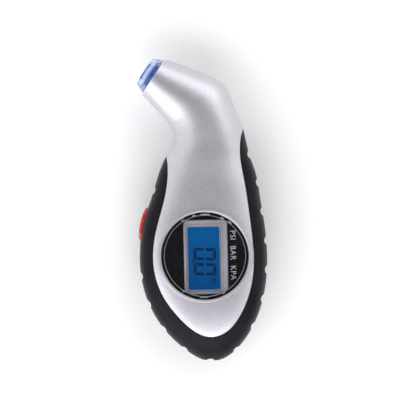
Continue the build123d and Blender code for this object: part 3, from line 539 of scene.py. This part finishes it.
# ---- Display -----------------------------------------------------------------------------------
@dataclass
class Display:
    """On display, dial and lens: figures, legend, a painted shade line and a painted highlight."""

    body: str = "case"
    film: float = 0.03 * MM
    turn: float = math.radians(1.2)
    figure_count: int = 2
    figure_height: float = 9.8 * MM
    figure_width: float = 5.3 * MM
    stroke: float = 1.25 * MM
    slant: float = 0.05
    mitre: float = 0.4
    gap: float = 0.24 * MM
    point_size: float = 0.95 * MM
    point_drop: float = 0.5 * MM
    first_y: float = 3.55 * MM
    pitch: float = 6.55 * MM
    base_x: float = -4.95 * MM
    mark_corner: tuple[float, float] = (2.6 * MM, -11.9 * MM)
    mark_size: tuple[float, float] = (1.9 * MM, 1.72 * MM)
    mark_line: float = 0.22 * MM
    mark_bar: tuple[float, float] = (0.9 * MM, 0.3 * MM)
    mark_bar_rises: tuple[float, ...] = (0.45 * MM, 0.95 * MM)
    mark_nub: tuple[float, float] = (0.7 * MM, 0.3 * MM)
    window_width: float = 13.7 * MM
    window_length: float = 27.3 * MM
    line_reach: tuple[float, float, float, float] = (0.9 * MM, 1.3 * MM, 0.9 * MM, 1.2 * MM)
    line_width: float = 0.2 * MM
    step_inset: float = 1.3 * MM
    step_depth: float = 0.12 * MM
    step_turns: int = 180
    step_rises: int = 7
    rim_height: float = 2.1 * MM
    legend: str = "PSI  BAR  KPA"
    legend_height: float = 2.4 * MM
    legend_length: float = 21.4 * MM
    legend_spacing: float = 1.12
    legend_x: float = 11.15 * MM

    @staticmethod
    def middle(node: str) -> Array:
        """The (x, y) middle of a CAD node's box."""
        low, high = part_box(node)
        return np.array([(low.x + high.x) / 2, (low.y + high.y) / 2])

    def turned(self, points: Array, centre: Array) -> Array:
        """Points turned about a centre by the display's small turn.

        Args:
            points: (x, y) rows.
            centre: The (x, y) centre.

        Returns:
            The turned rows.
        """
        c, s = math.cos(self.turn), math.sin(self.turn)
        return (points - centre) @ np.array([[c, s], [-s, c]]) + centre

    def strokes(self) -> list[Array]:
        """Outlines of the six strokes of a nought, in reading axes.

        Each stroke is a bar with mitred ends; u runs along the line of text and v up the figure,
        and the figure leans by slant * v.

        Returns:
            One array of (u, v) corners for each stroke.
        """
        w, h, t, g = self.figure_width, self.figure_height, self.stroke, self.gap
        m = h / 2
        upper = np.array([[0, m + g], [t, m + g + t * self.mitre], [t, h - t - g], [0, h - g]])
        lower = upper * [1, -1] + [0, h]
        top = np.array([[g, h], [g + t, h - t], [w - g - t, h - t], [w - g, h]])
        bottom = top * [1, -1] + [0, h]
        right = [a * [-1, 1] + [w, 0] for a in (upper, lower)]
        bars = [upper, lower, top, bottom, *right]
        return [b + np.column_stack([b[:, 1] * self.slant, np.zeros(len(b))]) for b in bars]

    def figures(self, material: Material) -> None:
        """Two noughts and a point, dark, just over the display's glass.

        The text reads down -Y with its tops to +X: x = base + v and y = start - u.

        Args:
            material: The figures' finish.
        """
        centre = self.middle("lcd_glass")
        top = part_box("lcd_glass")[1].z
        outlines = []
        for k in range(self.figure_count):
            start = self.first_y - k * self.pitch
            for bar in self.strokes():
                flat = np.column_stack([self.base_x + bar[:, 1], start - bar[:, 0]])
                outlines.append(flat)
        room = self.pitch - self.figure_width - self.point_size
        at = np.array([self.base_x - self.point_drop, self.first_y - self.pitch + room / 2])
        outlines.append(UNIT_SQUARE * self.point_size + at)
        outlines += self.battery_mark()
        outlines = [self.counter_clockwise(self.turned(o, centre)) for o in outlines]
        mesh = mesh_of("display_figures", *slabs(outlines, top, top + self.film))
        add_piece("display_figures", mesh, self.body, material)

    def battery_mark(self) -> list[Array]:
        """A small battery mark beside the figures: a case of four lines, a nub and level bars.

        Returns:
            Outlines of its lines and bars.
        """
        (wide, tall), line = self.mark_size, self.mark_line
        bar, nub = self.mark_bar, self.mark_nub
        rows = [(0, 0, wide, line), (0, tall - line, wide, line), (0, line, line, tall - 2 * line),
                (wide - line, line, line, tall - 2 * line), ((wide - nub[0]) / 2, tall, *nub)]
        rows += [((wide - bar[0]) / 2, rise, *bar) for rise in self.mark_bar_rises]
        corner = np.array(self.mark_corner)
        return [corner + (x, y) + UNIT_SQUARE * (w, h) for x, y, w, h in rows]

    def painted_step_highlight(self, material: Material) -> None:
        """A pale ring of painted highlight on the edge where the lens steps up to its dome.

        A half circle of a profile is carried round the dial's axis: a point at (turn, rise) stands
        at radius + depth * cos(rise) from the axis and at the lens rim + depth * sin(rise).

        Args:
            material: The painted highlight's finish.
        """
        low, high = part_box("dial_lens")
        radius = (high.x - low.x) / 2 - self.step_inset
        turns, rises = self.step_turns, self.step_rises
        turn = np.linspace(0, 2 * math.pi, turns, endpoint=False)[:, None]
        rise = np.linspace(0, math.pi, rises)[None, :]
        away = radius + self.step_depth * np.cos(rise)
        height = low.z + self.rim_height + self.step_depth * np.sin(rise)
        points = np.stack([away * np.cos(turn), away * np.sin(turn),
                           np.broadcast_to(height, (turns, rises))], -1).reshape(-1, 3)
        i, j = np.meshgrid(np.arange(turns), np.arange(rises), indexing="ij")
        here, beside = i * rises + j, (i + 1) % turns * rises + j
        after = i * rises + (j + 1) % rises
        across = (i + 1) % turns * rises + (j + 1) % rises
        faces = np.stack([here, beside, across, after], -1).reshape(-1, 4).tolist()
        mesh = mesh_of("lens_step_painted_highlight", points, faces, smooth=True)
        add_piece("lens_step_painted_highlight", mesh, self.body, material)

    @staticmethod
    def counter_clockwise(outline: Array) -> Array:
        """Turns an outline round if it runs clockwise, which its signed area tells.

        Twice the area is the sum of x * next y - next x * y over the corners.

        Args:
            outline: (x, y) rows.

        Returns:
            The rows, counter-clockwise.
        """
        x, y = outline[:, 0], outline[:, 1]
        twice_area = np.sum(x * np.roll(y, -1) - np.roll(x, -1) * y)
        return outline if twice_area > 0 else outline[::-1]

    def window_line(self, material: Material) -> None:
        """The fine shadowed line round the window's bevel, as four mitred bars on the surround.

        Each bar runs between one side of an inner rectangle and the same side of an outer one.

        Args:
            material: The line's finish.
        """
        centre = self.middle("lcd_glass")
        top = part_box("lcd_frame")[1].z
        left, right, down, up = self.line_reach
        low = np.array([-self.window_width / 2 - left, -self.window_length / 2 - down])
        high = np.array([self.window_width / 2 + right, self.window_length / 2 + up])
        inner = low + UNIT_SQUARE * (high - low)
        outer = inner + (2 * UNIT_SQUARE - 1) * self.line_width
        sides = []
        for k, m in ((0, 1), (1, 2), (2, 3), (3, 0)):
            side = np.array([outer[k], outer[m], inner[m], inner[k]]) + centre
            sides.append(self.counter_clockwise(self.turned(side, centre)))
        mesh = mesh_of("window_line", *slabs(sides, top, top + self.film))
        add_piece("window_line", mesh, self.body, material)

    def write_legend(self, material: Material) -> None:
        """Unit names just over the dial face, reading down -Y.

        The text's mesh is scaled to its length u and height v; x = base + v and y = start - u.

        Args:
            material: The ink's finish.
        """
        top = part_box("dial_face")[1].z
        text = bpy.data.curves.new("legend", "FONT")
        text.body = self.legend
        text.space_character = self.legend_spacing
        holder = bpy.data.objects.new("legend", text)
        bpy.context.scene.collection.objects.link(holder)
        bpy.context.view_layer.update()
        mesh = bpy.data.meshes.new_from_object(holder)
        bpy.data.objects.remove(holder)
        flat = np.empty(len(mesh.vertices) * 3)
        mesh.vertices.foreach_get("co", flat)
        flat = flat.reshape(-1, 3)
        least, most = flat.min(0), flat.max(0)
        u = (flat[:, 0] - least[0]) / (most[0] - least[0]) * self.legend_length
        v = (flat[:, 1] - least[1]) / (most[1] - least[1]) * self.legend_height
        y = self.legend_length / 2 - u
        placed = np.column_stack([self.legend_x + v, y, np.full(len(u), top + self.film)])
        placed[:, :2] = self.turned(placed[:, :2], np.zeros(2))
        mesh.vertices.foreach_set("co", placed.ravel())
        add_piece("dial_legend", mesh, self.body, material)


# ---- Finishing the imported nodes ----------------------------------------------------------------
def dress(nodes: dict[str, bpy.types.Object], finishes: dict[str, Material]) -> None:
    """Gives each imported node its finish.

    Args:
        nodes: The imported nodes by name.
        finishes: The material for each node's name.
    """
    for name, thing in nodes.items():
        for slot in thing.material_slots:
            slot.material = finishes[name]
        log.info("%s: %s", name, finishes[name].name)


def all_finishes() -> dict[str, Material]:
    """Makes each finish once and says which node wears it.

    Returns:
        The material for each node's name.
    """
    silver = SilverPaint().make()
    grip = Moulding("grip_rubber", (0.005, 0.0035, 0.0065), rise=0.03, roughness=(0.34, 0.46),
                    grain_per_metre=1600, grain_depth=3.2e-5, gloss=0.11).make()
    black = Moulding("dial_black", (0.0018, 0.0016, 0.0024), rise=0.008, roughness=(0.2, 0.32),
                     grain_per_metre=900, grain_depth=2e-6, gloss=0.2).make()
    inner = Moulding("inner_plastic", (0.02, 0.02, 0.022), rise=0.2, grain_depth=1.4e-5).make()
    trim = SilverPaint("silver_trim", (0.36, 0.345, 0.385), (0.46, 0.445, 0.49), 0.6).make()
    seal = Moulding("seal_rubber", (0.012, 0.012, 0.013), rise=0.1).make()
    # Painted light: the chuck's seal glows blue, standing in for the nozzle lamp's light.
    seal_with_painted_glow = Moulding("chuck_seal_painted_glow", (0.004, 0.03, 0.2), rise=0.3, roughness=(0.2, 0.35),
                         glow=0.12, glow_colour=(0.01, 0.07, 0.4)).make()
    zinc = Metal("zinc_steel", (0.5, 0.5, 0.49), (0.34, 0.34, 0.33)).make()
    brass = Metal("brass_parts", (0.62, 0.44, 0.16), (0.42, 0.28, 0.1), weave=Weave.TURNED).make()
    plate = Metal("contact_plate", (0.66, 0.63, 0.54), (0.5, 0.47, 0.38)).make()
    cell = Metal("battery_steel", (0.66, 0.66, 0.66), (0.52, 0.52, 0.52), (0.12, 0.3)).make()
    chip = Moulding("chip_black", (0.014, 0.014, 0.015), rise=0.2, roughness=(0.5, 0.65)).make()
    ceramic = Moulding("sensor_ceramic", (0.55, 0.52, 0.46), rise=0.3, roughness=(0.5, 0.7)).make()
    white = Moulding("switch_white", (0.62, 0.62, 0.6), rise=0.3).make()
    wires = Moulding("wire_red", (0.4, 0.012, 0.012), rise=0.2, roughness=(0.25, 0.4)).make()
    hose = Moulding("hose_rubber", (0.03, 0.03, 0.032), rise=0.15, roughness=(0.35, 0.5)).make()
    button = Moulding("button_red", (0.6, 0.022, 0.02), rise=0.5, roughness=(0.22, 0.34),
                      grain_depth=5e-6, coat=0.3).make()
    lens = ClearPlastic("clear_lens", (0.97, 0.98, 0.99), roughness=(0.0, 0.008),
                        bend=1.3).make()
    # Painted light: the tip glows pale blue, standing in for the nozzle lamp's light in it.
    tip = ClearPlastic("clear_tip", (0.62, 0.72, 0.93), roughness=(0.1, 0.26), bend=1.25,
                       ripple_depth=3e-5, ripples_per_metre=700, lamp_tint=(0.8, 0.87, 0.97),
                       glow=0.05, glow_colour=(0.5, 0.66, 0.98)).make()
    guide = ClearPlastic("light_guide", (0.85, 0.9, 0.95), roughness=(0.3, 0.45)).make()
    lamp = ClearPlastic("led_body", (0.8, 0.88, 0.97), roughness=(0.05, 0.12)).make()
    return {
        "front_shell": silver, "rear_shell": silver, "rubber_grip": grip, "case_screws": zinc,
        "dial_lens": lens, "lens_gasket": seal, "dial_face": black, "lcd_frame": trim,
        "lcd_glass": LitDisplay().make(), "zebra_strips": seal, "backlight_guide": guide,
        "backlight_led": lamp, "lcd_holder": inner, "main_pcb": Circuit().make(),
        "controller_chip": chip, "pressure_sensor": ceramic, "smd_parts": ceramic,
        "pcb_screws": zinc, "side_switch_body": chip, "switch_plunger": white,
        "power_button": button, "nozzle_tip": tip, "nozzle_gasket": seal_with_painted_glow,
        "valve_pin": brass, "nozzle_core": brass, "core_o_ring": seal, "nozzle_led": lamp,
        "led_wires": wires, "air_hose": hose, "hose_clips": zinc, "coin_battery": cell,
        "battery_spring_contact": plate, "battery_side_contact": plate, "battery_leads": wires,
        "battery_cover": inner, "battery_cover_ring": seal,
    }


# ---- Studio ------------------------------------------------------------------------------------
@dataclass(frozen=True)
class Softbox:
    """A square lamp: where it stands, how wide it is and how strong."""

    name: str
    stand: Place
    size: float
    power: float
    tint: Colour = (1.0, 1.0, 1.0)

    def light(self, target: Place) -> None:
        """Sets the lamp up, aimed at the target.

        Args:
            target: The point it faces.
        """
        data = bpy.data.lights.new(self.name, "AREA")
        data.shape = "SQUARE"
        data.size = self.size
        data.energy = self.power
        data.color = self.tint
        lamp = bpy.data.objects.new(self.name, data)
        lamp.location = self.stand
        way = Vector(target) - Vector(self.stand)
        lamp.rotation_euler = way.to_track_quat("-Z", "Y").to_euler()
        bpy.context.scene.collection.objects.link(lamp)


@dataclass
class Studio:
    """Pale floor, softboxes, a pale room and the camera over the gauge."""

    aim: Place = (1.35 * MM, 21.0 * MM, 15.2 * MM)
    height: float = 1.0
    view: float = 184.7 * MM
    sensor_width: float = 36.0
    farthest: float = 20.0
    floor_size: float = 6.0
    floor_colour: Colour = (0.93, 0.93, 0.93)
    floor_roughness: Range = (0.85, 0.95)
    floor_mottle_per_metre: float = 40.0
    low_light: float = 1.08
    high_light: float = 0.12
    dim_from: float = 0.72
    dim_to: float = 0.96
    boxes: tuple[Softbox, ...] = (
        Softbox("left_box", (-0.55, -0.62, 0.52), 1.05, 5.2),
        Softbox("neck_box", (0.42, 0.78, 0.6), 0.7, 2.0),
        Softbox("tail_box", (0.12, -0.8, 0.68), 0.7, 3.8, (0.94, 0.93, 1.0)),
    )

    def floor(self) -> None:
        """A wide pale sheet at the height of the rest face."""
        corners = np.column_stack([(UNIT_SQUARE - 0.5) * self.floor_size, np.zeros(4)])
        mesh = mesh_of("floor", corners, [[0, 1, 2, 3]])
        tree = Tree("pale_floor")
        shader = tree.shader(Specular_IOR_Level=0.1)
        mottle = tree.noise(tree.mapped(), self.floor_mottle_per_metre, 3)
        pale = tuple(min(1.0, c * 1.01) for c in self.floor_colour)
        tree.link(tree.blend(mottle, self.floor_colour, pale), shader.inputs["Base Color"])
        tree.link(tree.spread(mottle, *self.floor_roughness), shader.inputs["Roughness"])
        mesh.materials.append(tree.material)
        sheet = bpy.data.objects.new("floor", mesh)
        bpy.context.scene.collection.objects.link(sheet)

    def walls(self) -> None:
        """A room with pale walls and a dim ceiling, which keeps the dial's window dark.

        Brightness is a smooth step of the height of the way looked.
        """
        world = bpy.data.worlds.new("room")
        world.use_nodes = True
        nodes, links = world.node_tree.nodes, world.node_tree.links
        way = nodes.new("ShaderNodeTexCoord")
        split = nodes.new("ShaderNodeSeparateXYZ")
        step = nodes.new("ShaderNodeMapRange")
        step.interpolation_type = "SMOOTHSTEP"
        step.inputs["From Min"].default_value = self.dim_from
        step.inputs["From Max"].default_value = self.dim_to
        step.inputs["To Min"].default_value = self.low_light
        step.inputs["To Max"].default_value = self.high_light
        links.new(way.outputs["Generated"], split.inputs["Vector"])
        links.new(split.outputs["Z"], step.inputs["Value"])
        nodes["Background"].inputs["Color"].default_value = (1, 1, 1, 1)
        links.new(step.outputs["Result"], nodes["Background"].inputs["Strength"])
        bpy.context.scene.world = world

    def camera(self) -> None:
        """A long lens straight over the gauge, with +Y up in the picture."""
        data = bpy.data.cameras.new("camera")
        data.sensor_width = self.sensor_width
        data.lens = self.sensor_width * self.height / self.view
        data.clip_end = self.farthest
        eye = bpy.data.objects.new("camera", data)
        eye.location = (self.aim[0], self.aim[1], self.aim[2] + self.height)
        bpy.context.scene.collection.objects.link(eye)
        bpy.context.scene.camera = eye

    def build(self) -> None:
        """Sets up the whole studio."""
        self.floor()
        self.walls()
        self.camera()
        for box in self.boxes:
            box.light(self.aim)
        bpy.context.scene.view_settings.view_transform = "Standard"


def main() -> None:
    """Loads the frame, dresses it, adds the fine detail and sets up the studio."""
    logging.basicConfig(level=logging.INFO, format="%(name)s: %(message)s")
    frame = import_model()
    dress(frame["nodes"], all_finishes())
    display = Display()
    # The figures' dark ink glows faintly blue: painted backlight showing through the segments.
    ink = Moulding("figure_ink_painted_glow", (0.0, 0.003, 0.01), rise=0.004, roughness=(0.3, 0.4),
                   gloss=0.1, glow=0.5, glow_colour=(0.0, 0.028, 0.09)).make()
    display.figures(ink)
    display.write_legend(Moulding("legend_ink", (0.42, 0.41, 0.42), rise=0.4).make())
    display.window_line(Moulding("window_shadow", (0.13, 0.12, 0.135), rise=0.3).make())
    # Painted highlight: a pale ring where the lens steps up to its dome.
    display.painted_step_highlight(Moulding("step_edge_painted_highlight", (0.3, 0.29, 0.31), rise=0.5, gloss=0.5).make())
    Studio().build()


if __name__ == "__main__":
    main()
